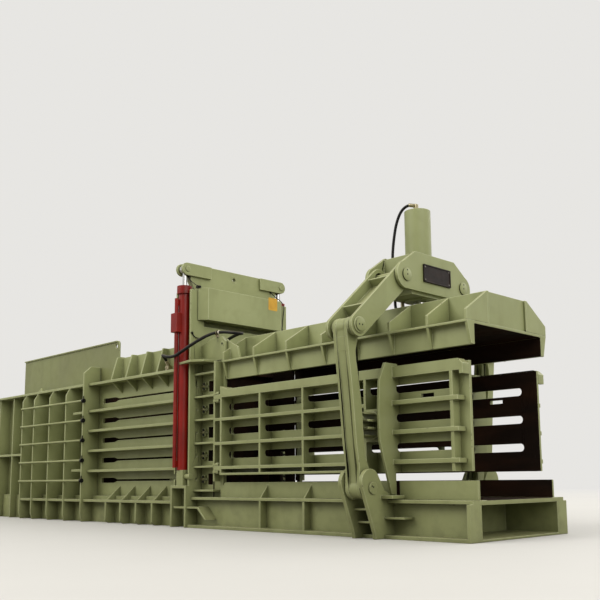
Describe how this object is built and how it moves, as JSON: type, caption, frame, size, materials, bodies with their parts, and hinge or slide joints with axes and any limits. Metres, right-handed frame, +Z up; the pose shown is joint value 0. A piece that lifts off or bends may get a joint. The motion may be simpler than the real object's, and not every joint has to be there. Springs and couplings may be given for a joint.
{
  "type": "channel baler",
  "caption": "Horizontal channel baler for paper and film: top-fed press chamber, wire-tying section, lifting gate, and an outlet channel squeezed by a top yoke, two arms and side links.",
  "frame": {"origin": "middle of the footprint, on the floor", "axes": "+X along the channel from the main cylinder to the bale outlet, +Z up, the near side of the picture is -Y"},
  "size_m": [9.24, 1.786, 2.4584],
  "materials": {
    "green_paint": "satin pale green enamel",
    "red_paint": "glossy dark red enamel",
    "black_plastic": "matte",
    "black_rubber": "matte hose cover",
    "bare_steel": "plain steel, lightly worn",
    "polished_rod": "hard chromed and polished"
  },
  "bodies": {
    "frame": {"base_frame": "green_paint", "floor_plate": "green_paint", "grid_side_plates": "green_paint", "grid_ribs": "green_paint", "feed_hopper": "green_paint", "wire_tubes": "green_paint", "wire_tube_ends": "black_plastic", "tie_side_plates": "green_paint", "tie_bars": "green_paint", "tie_gussets": "green_paint", "tie_roof": "green_paint", "portal_plates": "green_paint", "gate_guides": "green_paint", "station_plates": "green_paint", "wire_clamps": "bare_steel", "column_shelves": "green_paint", "roof_hinge_plates": "green_paint", "lift_barrels": "red_paint", "lift_pipes": "red_paint", "lift_feet": "green_paint", "neck_base": "green_paint", "neck_braces": "green_paint", "link_lugs": "green_paint", "lug_pins": "green_paint", "wall_hinge_pins": "green_paint", "roof_hinge_pins": "green_paint", "rear_side_plates": "green_paint", "rear_bulkhead": "green_paint", "main_cylinder": "red_paint", "bulkhead_bolts": "bare_steel", "lift_hose": "black_rubber"},
    "gate": {"gate_plate": "green_paint", "gate_beam": "green_paint", "gate_lugs": "green_paint", "gate_pins": "green_paint", "lift_rods": "polished_rod"},
    "ram": {"ram_platen": "bare_steel", "ram_box": "green_paint", "ram_shoes": "bare_steel", "main_rod": "polished_rod"},
    "roof": {"roof_panel": "green_paint", "roof_ribs": "green_paint", "rod_bracket": "green_paint"},
    "wall_near": {"wall_near_panel": "green_paint", "wall_near_bays": "green_paint", "wall_near_outlet": "green_paint", "pad_near": "green_paint"},
    "wall_far": {"wall_far_panel": "green_paint", "wall_far_bays": "green_paint", "wall_far_outlet": "green_paint", "pad_far": "green_paint"},
    "link_near": {"link_near": "green_paint"},
    "link_far": {"link_far": "green_paint"},
    "arm_near": {"arm_near": "green_paint"},
    "arm_far": {"arm_far": "green_paint"},
    "yoke": {"yoke_plates": "green_paint", "yoke_pins": "green_paint", "squeeze_barrel": "green_paint", "squeeze_hose": "black_rubber"},
    "squeeze_rod": {"squeeze_rod": "polished_rod"}
  },
  "joints": [
    {"name": "ram_stroke", "type": "slide", "parent": "frame", "child": "ram", "axis": [1, 0, 0], "range_m": [0, 2.3]},
    {"name": "gate_lift", "type": "slide", "parent": "frame", "child": "gate", "axis": [0, 0, 1], "range_m": [0, 1.15]},
    {"name": "squeeze_lift", "type": "slide", "parent": "frame", "child": "yoke", "axis": [0, 0, 1], "range_m": [0, 0.105]},
    {"name": "link_near_swing", "type": "hinge", "parent": "frame", "child": "link_near", "pos_m": [3.827, -0.7, 0.334], "axis": [1, 0, 0], "range_deg": [-5.84, 0]},
    {"name": "link_far_swing", "type": "hinge", "parent": "frame", "child": "link_far", "pos_m": [3.827, 0.7, 0.334], "axis": [1, 0, 0], "range_deg": [0, 5.84]},
    {"name": "arm_near_swing", "type": "hinge", "parent": "link_near", "child": "arm_near", "pos_m": [3.827, -0.815, 1.41], "axis": [1, 0, 0], "range_deg": [0, 19.27]},
    {"name": "arm_far_swing", "type": "hinge", "parent": "link_far", "child": "arm_far", "pos_m": [3.827, 0.815, 1.41], "axis": [1, 0, 0], "range_deg": [-19.27, 0]},
    {"name": "wall_near_swing", "type": "hinge", "parent": "frame", "child": "wall_near", "pos_m": [2.075, -0.52, 0], "axis": [0, 0, 1], "range_deg": [0, 1.41]},
    {"name": "wall_far_swing", "type": "hinge", "parent": "frame", "child": "wall_far", "pos_m": [2.075, 0.52, 0], "axis": [0, 0, 1], "range_deg": [-1.41, 0]},
    {"name": "roof_tilt", "type": "hinge", "parent": "frame", "child": "roof", "pos_m": [2.03, 0, 1.56], "axis": [0, 1, 0], "range_deg": [0, 1.78]},
    {"name": "squeeze_rod_drop", "type": "slide", "parent": "frame", "child": "squeeze_rod", "axis": [0, 0, 1], "range_m": [-0.0558, 0]}
  ],
  "couplings": [
    {"joint": "link_near_swing", "follows": "squeeze_lift", "rad_per_m": -0.9706},
    {"joint": "link_far_swing", "follows": "squeeze_lift", "rad_per_m": 0.9706},
    {"joint": "arm_near_swing", "follows": "squeeze_lift", "rad_per_m": 3.203},
    {"joint": "arm_far_swing", "follows": "squeeze_lift", "rad_per_m": -3.203},
    {"joint": "wall_near_swing", "follows": "squeeze_lift", "rad_per_m": 0.2348},
    {"joint": "wall_far_swing", "follows": "squeeze_lift", "rad_per_m": -0.2348},
    {"joint": "roof_tilt", "follows": "squeeze_lift", "rad_per_m": 0.296},
    {"joint": "squeeze_rod_drop", "follows": "squeeze_lift", "ratio": -0.531}
  ]
}
